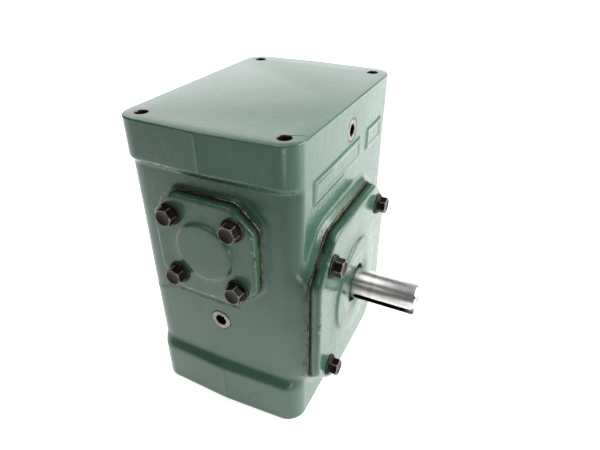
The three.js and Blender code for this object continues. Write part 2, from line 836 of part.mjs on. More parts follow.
// The bearing's wide end points along the frame's +Z.
function addBearing(frame, name, bearing, z, flipped) {
  const group = addFrame(frame);
  const seat = new THREE.Group();
  seat.position.z = z;
  seat.rotation.x = flipped ? Math.PI : 0;
  group.add(seat);
  addMesh(seat, `${name}_bearing_inner_ring`, innerRing(bearing), MATERIALS.bearingSteel);
  addMesh(seat, `${name}_bearing_outer_ring`, outerRing(bearing), MATERIALS.bearingSteel);
  addMesh(seat, `${name}_bearing_rollers`, rollerCage(bearing), MATERIALS.bearingSteel);
}

addMesh(gearbox, 'housing', housing(), MATERIALS.enamel);

const outputSide = addCover(FRAMES.output, 'output', SIDE_COVER, sideCover(), SIDE_BORE);
const sealStart = sidePocketFloor + FACE_GAP;
addMesh(outputSide, 'output_seal', lipSeal(OUTPUT_SEAL), MATERIALS.rubber, sealStart);
addCover(FRAMES.front, 'worm_front', WORM_COVER, wormCover(false), WORM_BORE.radius);
const rearSide = addCover(FRAMES.rear, 'worm_rear', WORM_COVER, wormCover(true), WORM_BORE.radius);
const inputSealStart = 2 * FIT_GAP - WORM_COVER.spigotDepth;
addMesh(rearSide, 'input_seal', lipSeal(INPUT_SEAL), MATERIALS.rubber, inputSealStart);

for (const [place, { lift }] of Object.entries(PLUG_PLACES)) {
  addMesh(addFrame(FRAMES[place]), `${place}_plug`, pipePlug(), MATERIALS.plugSteel, lift);
}

const wheelGroup = addFrame(FRAMES.wheel);
addMesh(wheelGroup, 'output_shaft', outputShaft(), MATERIALS.groundSteel);
addMesh(wheelGroup, 'worm_wheel', wormWheel(), MATERIALS.bronze);
addMesh(wheelGroup, 'wheel_hub', wheelHub(), MATERIALS.castIron);
addMesh(wheelGroup, 'wheel_key', wheelKey(), MATERIALS.groundSteel);

const halfBearing = SIDE_BEARING.width / 2;
const outputBearingZ = SIDE_SEAT + sidePocketFloor - FACE_GAP - halfBearing;
const blindBearingZ = BLIND_BOSS.floor + FACE_GAP + halfBearing;

function spacer(from, to) {
  return ring(OUTPUT_SHAFT.seat + FACE_GAP, SPACER_RADIUS, from, to, ROUND.medium);
}

const hubEnd = HUB.halfLength + FACE_GAP;
const outputSpacer = spacer(hubEnd, outputBearingZ - halfBearing - FACE_GAP);
addMesh(wheelGroup, 'output_spacer', outputSpacer, MATERIALS.groundSteel);
const blindSpacer = spacer(blindBearingZ + halfBearing + FACE_GAP, -hubEnd);
addMesh(wheelGroup, 'blind_spacer', blindSpacer, MATERIALS.groundSteel);
addBearing(FRAMES.wheel, 'output', SIDE_BEARING, outputBearingZ, true);
addBearing(FRAMES.wheel, 'blind', SIDE_BEARING, blindBearingZ, false);

const wormGroup = addFrame(FRAMES.worm);
addMesh(wormGroup, 'worm_shaft', wormShaft(), MATERIALS.groundSteel);
const wormBearingMiddle = WORM_SEAT - WORM_COVER.spigotDepth - WORM_BEARING.width / 2;
addBearing(FRAMES.worm, 'worm_rear', WORM_BEARING, wormBearingMiddle - OUTPUT_Y, true);
addBearing(FRAMES.worm, 'worm_front', WORM_BEARING, -wormBearingMiddle - OUTPUT_Y, false);

export default gearbox;
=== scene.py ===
import math

import bmesh
import bpy
import numpy as np
from mathutils import Matrix, Vector, noise


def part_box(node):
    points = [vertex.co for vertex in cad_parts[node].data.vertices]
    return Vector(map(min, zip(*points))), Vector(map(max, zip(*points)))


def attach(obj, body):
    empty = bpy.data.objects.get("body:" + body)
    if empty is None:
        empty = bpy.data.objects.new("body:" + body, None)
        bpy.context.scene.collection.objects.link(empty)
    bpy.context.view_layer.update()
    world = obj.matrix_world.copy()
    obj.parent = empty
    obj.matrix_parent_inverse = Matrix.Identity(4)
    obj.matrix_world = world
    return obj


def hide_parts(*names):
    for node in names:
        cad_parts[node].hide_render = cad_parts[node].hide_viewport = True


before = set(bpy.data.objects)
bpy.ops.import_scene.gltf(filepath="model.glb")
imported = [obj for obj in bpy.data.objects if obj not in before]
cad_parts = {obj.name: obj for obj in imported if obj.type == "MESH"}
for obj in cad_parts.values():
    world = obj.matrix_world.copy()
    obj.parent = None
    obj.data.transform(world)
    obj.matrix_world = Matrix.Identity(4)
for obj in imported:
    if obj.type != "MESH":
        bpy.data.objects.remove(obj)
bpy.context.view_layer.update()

# A worm gearbox in glossy grey-green enamel. Sizes are in millimetres, and place() turns mesh points into
# metres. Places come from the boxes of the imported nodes. Lights, camera and floor are in metres.

MM = 0.001

# ---------------------------------------------------------------- places taken from the frame


def box_mm(node):
    """Lowest and highest corner of a CAD node, in millimetres."""
    low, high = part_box(node)
    return np.array(low) / MM, np.array(high) / MM


def side_matrix(origin, out):
    """A frame on one side of the box: origin in millimetres, +Z pointing out and +Y up."""
    out, up = Vector(out), Vector((0, 0, 1))
    axes = Matrix((up.cross(out), up, out)).transposed().to_4x4()
    return Matrix.Translation(Vector(origin)) @ axes


OUT = {"output": (1, 0, 0), "worm_front": (0, -1, 0), "worm_rear": (0, 1, 0)}
GASKET_GAP = 0.05  # clamped faces in the frame stay this far apart


def cover_place(side):
    """The seat's frame and half size of a cover, from its node's box."""
    low, high = box_mm(side + "_cover")
    gasket_low, gasket_high = box_mm(side + "_gasket")
    out = np.array(OUT[side])
    across = np.abs(out) < 0.5
    centre = (low + high) / 2
    seat = (gasket_low if out.sum() > 0 else gasket_high) - GASKET_GAP * out
    origin = np.where(across, centre, seat)
    return side_matrix(origin, OUT[side]), (high - low)[across].max() / 2


HOUSING_LOW, HOUSING_HIGH = box_mm("housing")
HEIGHT = HOUSING_HIGH[2]
HALF_WIDTH = -HOUSING_LOW[0]
HALF_DEPTH = 88.9
CORNER = 14.5
RIDGE = 2.2  # how far the middle of the front and of the back stands out
SET_BACK = 4.9  # how far the body lies behind the foot and the top band
FOOT = (31.5, 43.0)  # heights between which the foot steps back to the body
BAND = (196.0, 202.5)  # heights between which the body steps out to the top band
EDGE = 0.8
SWELL = 0.10  # unevenness of the cast faces
FRONT_START, SIDE_START = 80.0, 50.0  # further out in Y than this is front or back, in X the side
MOUNT = (50.8, 76.2)
MOUNT_RADIUS, MOUNT_DEPTH, THREAD_PITCH, THREAD_DEPTH = 4.3, 18.0, 1.5875, 0.35
PANELS = {"z": 190.0, "height": 18.0, "relief": 1.2, "spans": ((-65.0, 18.0), (32.0, 66.0))}

COVERS = {
    "output": {"chamfer": 26.5, "plate": 7.6, "disc": 38.5, "rise": 1.9, "bolt": 46.5, "window": 15.5,
               "bore": 54.0, "keep": 60.0, "round": 2.6, "fillet": 8.0},
    "worm_front": {"chamfer": 15.7, "plate": 7.0, "disc": 21.4, "rise": 1.8, "bolt": 23.55, "window": 0.0,
                   "bore": 26.0, "keep": 28.0, "round": 2.2, "fillet": 3.2},
    "worm_rear": {"chamfer": 15.7, "plate": 7.0, "disc": 21.4, "rise": 1.8, "bolt": 23.55, "window": 11.5,
                  "bore": 26.0, "keep": 28.0, "round": 2.2, "fillet": 3.2},
}
for side_name, side_cover in COVERS.items():
    side_cover["place"], side_cover["half"] = cover_place(side_name)
    side_cover["origin"] = np.array(side_cover["place"].translation)
COVER_BACK = 0.85  # gasket and gaps behind a cover
PAD_MARGIN = 1.0
SEAT_SHARPNESS = 26  # how tightly a seat's outline turns its corners

BOLT = {"shank": 3.9, "length": 20.0, "flange": 8.2, "flange_height": 2.4, "flats": 11.5, "height": 8.0}
BOLT_TURNS = (17, 52, 5, 38)
COVER_HOLE, TAPPED_HOLE, TAPPED_DEPTH = 4.35, 4.25, 13
PLUG_FLATS, PLUG_SOCKET, PLUG_GAP = 7.94, 7.5, 0.25

# A keyway's angle is in degrees round its shaft at rest.
OUTPUT_SHAFT = {"seat": 15.0, "radius": 11.9, "shoulder": 66.6, "chamfer": 1.6}
OUTPUT_KEYWAY = {"width": 6.35, "depth": 3.175, "start": 80, "angle": 202}
INPUT_SHAFT = {"radius": 7.94, "chamfer": 1.0, "seal_reach": 5}
INPUT_KEYWAY = {"width": 4.76, "depth": 2.4, "start": 103, "angle": 90}
SEALS = {
    "output": {"node": "output_seal", "outer": 19.0, "inner": 12.3},
    "worm_rear": {"node": "input_seal", "outer": 15.0, "inner": 10.3},
}
SEAL_SHAFT_GAP, SEAL_GROOVE = 0.1, 0.9

# ---------------------------------------------------------------- meshes


def new_piece(name, points, faces):
    """A mesh object from points in metres, with its normals turned outwards."""
    mesh = bpy.data.meshes.new(name)
    mesh.from_pydata(points, [], faces)
    shell = bmesh.new()
    shell.from_mesh(mesh)
    bmesh.ops.recalc_face_normals(shell, faces=shell.faces)
    shell.to_mesh(mesh)
    shell.free()
    piece = bpy.data.objects.new(name, mesh)
    bpy.context.scene.collection.objects.link(piece)
    return piece


def place(points, matrix):
    """Points in millimetres in a side's frame, as metres in the row frame."""
    turn = np.array(matrix.to_3x3())
    return (np.asarray(points) @ turn.T + np.array(matrix.translation)) * MM


def loft(name, rings, matrix=Matrix(), loop=False):
    """A closed surface through rings of points, either capped at both ends or joined into a loop."""
    rings = np.asarray(rings, float)
    rows, sides, _ = rings.shape
    faces = []
    for row in range(rows if loop else rows - 1):
        here, above = row * sides, (row + 1) % rows * sides
        for i in range(sides):
            j = (i + 1) % sides
            faces.append((here + i, here + j, above + j, above + i))
    if not loop:
        faces.append(tuple(range(sides)))
        faces.append(tuple((rows - 1) * sides + i for i in range(sides)))
    return new_piece(name, place(rings.reshape(-1, 3), matrix), faces)


def polar(angles, rows):
    """Rings of points from (radius, height) rows, each a number or one value per angle."""
    across = np.stack([np.cos(angles), np.sin(angles)], axis=-1)
    rings = []
    for radius, height in rows:
        flat = across * np.broadcast_to(radius, angles.shape)[:, None]
        rings.append(np.column_stack([flat, np.broadcast_to(height, angles.shape)]))
    return rings


def even_angles(count):
    return np.arange(count) * 2 * math.pi / count


def soft_polygon(angles, distances, directions, sharpness):
    """Radius of a polygon with slightly rounded corners, from each side's distance and direction."""
    total = np.zeros_like(angles)
    for distance, direction in zip(distances, directions):
        total += np.maximum(np.cos(angles - direction) / distance, 0) ** sharpness
    return total ** (-1 / sharpness)


def octagon_radius(angles, half, chamfer, sharpness=46):
    """Radius of a square with cut corners."""
    slanted = (2 * half - chamfer) / math.sqrt(2)
    distances = [half, slanted] * 4
    directions = [i * math.pi / 4 for i in range(8)]
    return soft_polygon(angles, distances, directions, sharpness)


def hexagon_radius(angles, flats, sharpness=90):
    directions = [math.radians(30 + 60 * i) for i in range(6)]
    return soft_polygon(angles, [flats / 2] * 6, directions, sharpness)


def hexagon_angles(per_side=16):
    """Angles that crowd towards the six corners."""
    spread = np.linspace(-1, 1, per_side, endpoint=False)
    offsets = np.sign(spread) * np.abs(spread) ** 1.7 * math.radians(30)
    return np.concatenate([math.radians(60 * i) + offsets for i in range(6)])


def octagon_distance(u, v, half, chamfer):
    """How far outside an octagon a point lies, less than nothing inside."""
    slanted = (np.abs(u) + np.abs(v) - 2 * half + chamfer) / math.sqrt(2)
    return np.maximum(np.maximum(np.abs(u), np.abs(v)) - half, slanted)


def smooth_step(low, high, value):
    share = np.clip((value - low) / (high - low), 0, 1)
    return share * share * (3 - 2 * share)


def turned(name, profile, matrix, sides=64, loop=False):
    return loft(name, polar(even_angles(sides), profile), matrix, loop)


def bar(name, radius, low, high, matrix, sides=48):
    return turned(name, [(radius, low), (radius, high)], matrix, sides)


def combine(piece, tool, operation="DIFFERENCE"):
    """Cuts a closed mesh by another, joins them or keeps what they share, and removes the tool."""
    modifier = piece.modifiers.new(operation, "BOOLEAN")
    modifier.operation = operation
    modifier.solver = "MANIFOLD"
    modifier.object = tool
    bpy.context.view_layer.update()
    evaluated = piece.evaluated_get(bpy.context.evaluated_depsgraph_get())
    result = bpy.data.meshes.new_from_object(evaluated)
    piece.modifiers.clear()
    piece.data = result
    bpy.data.objects.remove(tool)


def joined(name, pieces):
    """One mesh object from several that do not touch."""
    points, faces = [], []
    for piece in pieces:
        start = len(points)
        points.extend(v.co[:] for v in piece.data.vertices)
        faces.extend(tuple(start + i for i in f.vertices) for f in piece.data.polygons)
        bpy.data.objects.remove(piece)
    return new_piece(name, points, faces)


def welded_copy(node):
    """A copy of a CAD node as one closed mesh, without the import's split edges."""
    shell = bmesh.new()
    shell.from_mesh(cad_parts[node].data)
    bmesh.ops.remove_doubles(shell, verts=shell.verts, dist=0.002 * MM)
    mesh = bpy.data.meshes.new(node + "_copy")
    shell.to_mesh(mesh)
    shell.free()
    piece = bpy.data.objects.new(node + "_copy", mesh)
    bpy.context.scene.collection.objects.link(piece)
    return piece


def block(name, low, high):
    """A box between two corners in millimetres, as a tool for cuts."""
    (x0, y0, z0), (x1, y1, z1) = low, high
    outline = [(x0, y0), (x1, y0), (x1, y1), (x0, y1)]
    return loft(name, [[(x, y, z) for x, y in outline] for z in (z0, z1)])


def paint_mask(piece, name, values):
    layer = piece.data.attributes.new(name, "FLOAT", "POINT")
    layer.data.foreach_set("value", np.asarray(values, np.float32).ravel())


def points_mm(piece):
    flat = np.empty(len(piece.data.vertices) * 3, np.float32)
    piece.data.vertices.foreach_get("co", flat)
    return flat.reshape(-1, 3).astype(float) / MM


def fading(distance, width):
    """1 where the distance is nothing, falling to nothing over about twice the width."""
    return np.exp(-(distance / width) ** 2)


def waves(points, size, seed=0.0):
    """Smooth noise from -1 to 1 with swells of that size, one value per point."""
    shift = Vector((seed, 1.7 * seed, 0.3 * seed))
    return np.array([noise.noise(Vector(p) / size + shift) for p in points])


def finished(piece, material, replaced=(), body="case", sharp=38):
    """Smooth shading up to an angle, the material, and what the frame has to know."""
    piece.data.materials.clear()
    piece.data.materials.append(material)
    piece.data.shade_smooth()
    piece.data.set_sharp_from_angle(angle=math.radians(sharp))
    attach(piece, body)
    if replaced:
        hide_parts(*replaced)
    return piece


# ---------------------------------------------------------------- node materials


class Shader:
    """A Principled material, with short calls for the nodes that drive it."""

    def __init__(self, name, **constants):
        self.material = bpy.data.materials.new(name)
        self.material.use_nodes = True
        self.nodes = self.material.node_tree.nodes
        self.links = self.material.node_tree.links
        self.surface = self.nodes["Principled BSDF"]
        for socket, value in constants.items():
            self.surface.inputs[socket.replace("_", " ")].default_value = value

    def put(self, value, socket):
        if isinstance(value, bpy.types.NodeSocket):
            self.links.new(value, socket)
        else:
            socket.default_value = value

    def node(self, kind, inputs=(), **settings):
        made = self.nodes.new(kind)
        for key, value in settings.items():
            setattr(made, key, value)
        for key, value in dict(inputs).items():
            self.put(value, made.inputs[key])
        return made

    def spot(self, scale=(1, 1, 1), turn=(0, 0, 0), shift=(0, 0, 0)):
        """Object coordinates, in metres in the row frame."""
        place_node = self.node("ShaderNodeTexCoord").outputs["Object"]
        inputs = {"Vector": place_node, "Location": shift, "Rotation": turn, "Scale": scale}
        return self.node("ShaderNodeMapping", inputs).outputs["Vector"]

    def noise(self, scale, detail=3.0, roughness=0.55, stretch=(1, 1, 1), turn=(0, 0, 0), seed=0.0):
        spot = self.spot(stretch, turn, (seed, seed * 0.7, seed * 1.3))
        inputs = {"Vector": spot, "Scale": scale, "Detail": detail, "Roughness": roughness}
        return self.node("ShaderNodeTexNoise", inputs).outputs["Fac"]

    def between(self, value, low, high, to_low=0.0, to_high=1.0):
        inputs = {"Value": value, "From Min": low, "From Max": high, "To Min": to_low, "To Max": to_high}
        return self.node("ShaderNodeMapRange", inputs, interpolation_type="SMOOTHSTEP").outputs["Result"]

    def math(self, operation, a, b=0.0):
        made = self.node("ShaderNodeMath", {0: a, 1: b}, operation=operation)
        return made.outputs[0]

    def mask(self, name):
        return self.node("ShaderNodeAttribute", attribute_name=name).outputs["Fac"]

    def mix(self, share, a, b):
        made = self.node("ShaderNodeMix", data_type="RGBA")
        for key, value in (("Factor", share), ("A", a), ("B", b)):
            kind = "VALUE" if key == "Factor" else "RGBA"
            socket = next(s for s in made.inputs if s.name == key and s.type == kind)
            self.put(value if isinstance(value, (bpy.types.NodeSocket, float)) else (*value, 1), socket)
        return next(s for s in made.outputs if s.type == "RGBA")

    def specks(self, cells, radius, share, seed=0.0):
        """Small round marks: one per cell, of which a share shows."""
        inputs = {"Vector": self.spot(shift=(seed, seed, seed)), "Scale": cells}
        cell = self.node("ShaderNodeTexVoronoi", inputs)
        near = self.between(cell.outputs["Distance"], radius, radius * 0.5)
        shade = self.node("ShaderNodeSeparateColor", {"Color": cell.outputs["Color"]}).outputs["Red"]
        shown = self.math("LESS_THAN", shade, share)
        return self.math("MULTIPLY", near, shown)

    def bump(self, height, distance, below=None):
        """Relief of that depth in millimetres, on top of what lies below."""
        inputs = {"Height": height, "Distance": distance * MM, "Strength": 1.0}
        if below is not None:
            inputs["Normal"] = below
        return self.node("ShaderNodeBump", inputs).outputs["Normal"]

    def finish(self, colour, roughness, normal):
        for socket, value in (("Base Color", colour), ("Roughness", roughness), ("Normal", normal)):
            self.links.new(value, self.surface.inputs[socket])
        return self.material


TEAL_DARK, TEAL = (0.037, 0.104, 0.070), (0.056, 0.142, 0.097)
TEAL_PALE, TEAL_OLIVE = (0.105, 0.205, 0.152), (0.068, 0.134, 0.078)
# The darkest colour serves real dirt and also painted shade; the palest serves wear and also painted
# highlight.
GRIME_AND_SHADE, RUST, CHALK = (0.018, 0.015, 0.011), (0.110, 0.055, 0.028), (0.62, 0.64, 0.58)


def enamel(name, seed, grime="grime", wear="wear"):
    """Thick glossy enamel over a rough casting, with streaks, dirt and painted shade, worn edges and
    painted highlight.
    """
    s = Shader(name, Specular_IOR_Level=0.5, Coat_Weight=0.12, Coat_Roughness=0.08)
    clouds = s.noise(14, 4, seed=seed)
    colour = s.mix(s.between(clouds, 0.32, 0.68), TEAL_DARK, TEAL)
    drift = s.noise(9, 3, seed=seed + 1)
    colour = s.mix(s.between(drift, 0.42, 0.70, 0.0, 0.5), colour, TEAL_OLIVE)
    streaks = s.noise(1, 4, 0.65, stretch=(170, 170, 20), seed=seed)
    colour = s.mix(s.between(streaks, 0.48, 0.80, 0.0, 0.22), colour, TEAL_PALE)
    mottle = s.noise(160, 4, 0.7, seed=seed + 3)
    colour = s.mix(s.between(mottle, 0.5, 0.78, 0.0, 0.3), colour, TEAL_DARK)
    # A mask darkens the paint: real dirt and chips, and painted shade in creases, under ledges and round
    # joined parts.
    dirt_and_shade_noise = s.noise(420, 5, 0.75, seed=seed + 5)
    dirt_and_shade = s.math("MULTIPLY", s.mask(grime), s.between(dirt_and_shade_noise, 0.28, 0.62))
    colour = s.mix(s.between(dirt_and_shade, 0.08, 0.75), colour, GRIME_AND_SHADE)
    # A mask pales the paint: worn edges, and a painted highlight along the housing's top band.
    edge_noise = s.noise(240, 4, 0.7, seed=seed + 7)
    worn_and_highlit = s.math("MULTIPLY", s.mask(wear), s.between(edge_noise, 0.35, 0.6))
    colour = s.mix(s.between(worn_and_highlit, 0.2, 0.9), colour, CHALK)
    colour = s.mix(s.specks(95, 0.055, 0.10, seed), colour, GRIME_AND_SHADE)
    peel = s.noise(430, 2, 0.5, seed=seed + 9)
    grain = s.noise(1700, 3, 0.6, seed=seed + 11)
    rough = s.between(mottle, 0.3, 0.75, 0.15, 0.28)
    rough = s.math("ADD", rough, s.math("MULTIPLY", dirt_and_shade, 0.4))
    normal = s.bump(grain, 0.03, s.bump(peel, 0.16))
    return s, colour, rough, normal


TOP_ROUGHNESS = 0.32


def housing_enamel():
    s, colour, rough, normal = enamel("housing_enamel", 0.0)
    axes = s.node("ShaderNodeSeparateXYZ", {"Vector": s.spot()})
    x, y, z = (axes.outputs[name] for name in "XYZ")
    high = s.math("GREATER_THAN", z, (HEIGHT - 0.3) * MM)
    sides_rough = s.math("MULTIPLY", rough, s.math("SUBTRACT", 1, high))
    rough = s.math("ADD", sides_rough, s.math("MULTIPLY", high, TOP_ROUGHNESS))
    scratch_noise = s.noise(1, 2, stretch=(26, 800, 1), turn=(0, 0, 0.9), seed=4)
    scratch_patch = s.noise(22, 2, seed=8)
    scratch = s.math("MULTIPLY", s.between(scratch_noise, 0.66, 0.72), s.between(scratch_patch, 0.52, 0.62))
    colour = s.mix(s.math("MULTIPLY", s.math("MULTIPLY", scratch, high), 0.55), colour, GRIME_AND_SHADE)
    flecks = s.math("MULTIPLY", s.specks(60, 0.06, 0.22, 2.0), high)
    colour = s.mix(flecks, colour, RUST)
    from_x = s.math("SUBTRACT", s.math("ABSOLUTE", x), MOUNT[0] * MM)
    from_y = s.math("SUBTRACT", s.math("ABSOLUTE", y), MOUNT[1] * MM)
    squares = s.math("ADD", s.math("MULTIPLY", from_x, from_x), s.math("MULTIPLY", from_y, from_y))
    reach = s.math("ADD", s.math("SQRT", squares), s.math("MULTIPLY", s.noise(500, 2), 0.8 * MM))
    colour = s.mix(s.between(reach, 5.9 * MM, 5.3 * MM), colour, RUST)
    colour = s.mix(s.between(reach, 5.0 * MM, 4.6 * MM), colour, GRIME_AND_SHADE)
    return s.finish(colour, rough, normal)


def cover_enamel(name, seed):
    s, colour, rough, normal = enamel(name, seed)
    return s.finish(colour, rough, normal)


def black_bolt():
    s = Shader("black_bolt", Specular_IOR_Level=0.11)
    patch = s.noise(300, 4, 0.65)
    colour = s.mix(s.between(patch, 0.35, 0.7), (0.004, 0.0035, 0.003), (0.014, 0.010, 0.008))
    colour = s.mix(s.math("MULTIPLY", s.mask("face"), s.between(s.noise(700, 3), 0.3, 0.6)), colour,
                   (0.028, 0.018, 0.012))
    # Paler corners and crown edge: worn black finish, and painted highlight.
    worn_and_highlit = s.math("MULTIPLY", s.mask("wear"), s.between(s.noise(900, 3, 0.7), 0.3, 0.55))
    colour = s.mix(worn_and_highlit, colour, (0.42, 0.38, 0.34))
    rough = s.between(patch, 0.3, 0.7, 0.28, 0.5)
    return s.finish(colour, rough, s.bump(s.noise(1300, 4, 0.7), 0.02))


def plug_steel():
    s = Shader("plug_steel", Metallic=0.8)
    patch = s.noise(600, 4, 0.7)
    colour = s.mix(s.between(patch, 0.35, 0.65), (0.17, 0.13, 0.10), (0.42, 0.40, 0.37))
    # Painted shade inside the hex socket.
    colour = s.mix(s.mask("socket"), colour, (0.012, 0.010, 0.009))
    return s.finish(colour, s.between(patch, 0.3, 0.7, 0.3, 0.55), s.bump(s.noise(1500, 3), 0.06))


def ground_steel(name, axis):
    """Ground bar: very fine rings round its axis, a few stains, and black in the keyway: grease and painted
    shade.
    """
    s = Shader(name, Metallic=1.0)
    rings = [6, 6, 6]
    rings[axis] = 5200
    lines = s.noise(1, 4, 0.75, stretch=rings)
    wide = [3, 3, 3]
    wide[axis] = 260
    bands = s.noise(1, 3, 0.6, stretch=wide, seed=5)
    colour = s.mix(s.between(bands, 0.3, 0.7), (0.66, 0.65, 0.63), (0.78, 0.78, 0.76))
    stain = s.between(s.noise(110, 4, 0.7, seed=3), 0.60, 0.78, 0.0, 0.5)
    colour = s.mix(stain, colour, (0.30, 0.25, 0.20))
    # Black in the keyway: its grease, and painted shade.
    recess = s.between(s.mask("recess"), 0.0, 0.2)
    colour = s.mix(recess, colour, (0.010, 0.009, 0.008))
    rough = s.math("ADD", s.between(lines, 0.3, 0.7, 0.30, 0.36), s.math("MULTIPLY", recess, 0.4))
    return s.finish(colour, rough, s.bump(lines, 0.0015))


def gasket_paper():
    s = Shader("gasket_paper", Specular_IOR_Level=0.3)
    fibre = s.noise(800, 4, 0.7)
    colour = s.mix(s.between(fibre, 0.35, 0.65), (0.030, 0.028, 0.018), (0.10, 0.095, 0.045))
    return s.finish(colour, s.between(fibre, 0.3, 0.7, 0.7, 0.95), s.bump(fibre, 0.1))


def sealant():
    s = Shader("sealant", Specular_IOR_Level=0.5)
    patch = s.noise(120, 4, 0.7)
    colour = s.mix(s.between(patch, 0.40, 0.60), (0.020, 0.020, 0.014), (0.23, 0.22, 0.085))
    pale = s.math("MULTIPLY", s.mask("pale"), s.between(s.noise(500, 3, seed=2), 0.42, 0.55))
    colour = s.mix(pale, colour, CHALK)
    return s.finish(colour, s.between(patch, 0.3, 0.7, 0.35, 0.6), s.bump(s.noise(900, 3), 0.2))


def seal_rubber():
    s = Shader("seal_rubber", Specular_IOR_Level=0.12)
    dust = s.noise(500, 4, 0.7)
    colour = s.mix(s.between(dust, 0.5, 0.8), (0.006, 0.006, 0.006), (0.016, 0.015, 0.013))
    return s.finish(colour, s.between(dust, 0.3, 0.7, 0.45, 0.7), s.bump(dust, 0.05))


def plain_metal(name, dark, light, rough, grain):
    """Machined or cast metal inside the box."""
    s = Shader(name, Metallic=0.95)
    patch = s.noise(grain, 4, 0.65)
    colour = s.mix(s.between(patch, 0.3, 0.7), dark, light)
    return s.finish(colour, s.between(patch, 0.3, 0.7, rough, rough + 0.2), s.bump(patch, 0.08))


# ---------------------------------------------------------------- housing


def outline_columns():
    """Points round the housing seen from above, close together where the seats and panels are."""
    x, y = HALF_WIDTH - CORNER, HALF_DEPTH - CORNER
    right = np.concatenate([np.arange(-y, 68, 1.1), [y]])
    left = np.linspace(y, -y, 26)
    far = np.concatenate([np.arange(x, 1.2, -1.1), [0.7, 0, -0.7], np.arange(-1.4, -x, -1.1)])
    columns = []

    def corner(cx, cy, start):
        for turn in np.radians(start + np.linspace(0, 90, 13)[1:-1]):
            columns.append((cx + CORNER * math.cos(turn), cy + CORNER * math.sin(turn)))

    columns.extend((HALF_WIDTH, v) for v in right)
    corner(x, y, 0)
    columns.extend((u, HALF_DEPTH + RIDGE * (1 - abs(u) / x)) for u in far)
    corner(-x, y, 90)
    columns.extend((-HALF_WIDTH, v) for v in left)
    corner(-x, -y, 180)
    columns.extend((-u, -HALF_DEPTH - RIDGE * (1 - abs(u) / x)) for u in far)
    corner(x, -y, 270)
    return np.array(columns)


def outline_levels():
    """Heights of the rings, each with how far it is drawn in at the box's top and bottom edges."""
    sides = [np.arange(EDGE, 20, 1.8), np.arange(20, 206, 1.0), np.arange(206, HEIGHT - EDGE, 1.8)]
    heights = np.concatenate([*sides, [HEIGHT - EDGE]])
    bottom = [(0, EDGE), (0.24 * EDGE, 0.3 * EDGE)]
    top = [(HEIGHT - height, inset) for height, inset in reversed(bottom)]
    return bottom + [(height, 0) for height in heights] + top


def set_back(z):
    """How far the front and the back lie behind the foot and the top band at each height."""
    return SET_BACK * smooth_step(*FOOT, z) * (1 - smooth_step(*BAND, z))


def panel_relief(y, z):
    """Two blank cast panels on the output side, each with a raised border."""
    total = np.zeros_like(y)
    for low, high in PANELS["spans"]:
        u = np.abs(y - (low + high) / 2) - (high - low) / 2
        v = np.abs(z - PANELS["z"]) - PANELS["height"] / 2
        inside = -np.maximum(u, v)
        border = smooth_step(-0.4, 1.8, inside)
        dish = 0.45 * smooth_step(3.0, 4.8, inside)
        total += PANELS["relief"] * (border - dish)
    return total


def seat_share(u, v, cover):
    """1 on a cover's seat, falling in a hollow curve to 0 where its fillet ends."""
    angles = np.arctan2(v, u)
    rim = octagon_radius(angles, cover["half"] + PAD_MARGIN, cover["chamfer"], SEAT_SHARPNESS)
    outside = (np.hypot(u, v) - rim) * 0.96
    return np.clip(1 - outside / cover["fillet"], 0, 1) ** 2.3


def housing_surface():
    """The casting's outside: rings of points that bulge into the cover seats and the blank panels."""
    columns, levels = outline_columns(), outline_levels()
    z = np.array([height for height, _ in levels])[:, None] + np.zeros(len(columns))
    inset = np.array([depth for _, depth in levels])[:, None]
    x = columns[:, 0] * (1 - inset / HALF_WIDTH)
    y = columns[:, 1] * (1 - inset / HALF_DEPTH)
    past = np.maximum(np.abs(y) - (HALF_DEPTH - CORNER), 0)
    y = y - np.sign(y) * past * set_back(z) / CORNER
    swell = waves(np.column_stack([x.ravel(), y.ravel(), z.ravel()]), 26).reshape(x.shape) * SWELL
    inner = (z > 1) & (z < HEIGHT - 1)
    flat_x = np.abs(np.broadcast_to(columns[:, 0], x.shape)) > HALF_WIDTH - 0.01
    on_ends = np.abs(y) > FRONT_START
    flash = 0.3 * fading(x, 0.6) * ((z > BAND[1]) | (z < FOOT[0])) * on_ends
    x = x + np.sign(x) * np.where(inner & flat_x, swell - SWELL, 0)
    y = y + np.sign(y) * np.where(inner & ~flat_x, swell + flash, 0)
    cover = COVERS["output"]
    _, middle_y, middle_z = cover["origin"]
    facing = smooth_step(0, 0.6, (x - HALF_WIDTH + CORNER) / CORNER)
    share = seat_share(y - middle_y, z - middle_z, cover) * facing
    x = x + (cover["origin"][0] - x) * share
    x = x + np.where(flat_x & (x > 0), panel_relief(y, z), 0)
    for side in ("worm_front", "worm_rear"):
        cover = COVERS[side]
        seat = cover["origin"][1]
        share = seat_share(x, z - cover["origin"][2], cover) * (y * seat > 0) * (np.abs(y) > FRONT_START)
        y = y + (seat - y) * share
    return np.stack([x, y, z], axis=-1)


def thread_tool(x, y, z, up):
    """A tapped hole with its thread, as a cutting tool that starts 1 mm outside the face."""
    rows = [(MOUNT_RADIUS, 1), (MOUNT_RADIUS + THREAD_DEPTH, 0.01), (MOUNT_RADIUS, -0.6)]
    turns = int(MOUNT_DEPTH / THREAD_PITCH) - 1
    for turn in range(turns):
        top = -0.8 - turn * THREAD_PITCH
        rows += [(MOUNT_RADIUS, top), (MOUNT_RADIUS - THREAD_DEPTH, top - THREAD_PITCH / 2)]
    rows += [(MOUNT_RADIUS, -MOUNT_DEPTH), (0.3, -MOUNT_DEPTH - 2.4)]
    frame_matrix = Matrix.Translation((x, y, z))
    if not up:
        frame_matrix = frame_matrix @ Matrix.Rotation(math.pi, 4, "X")
    return turned("thread_tool", rows, frame_matrix, 28)


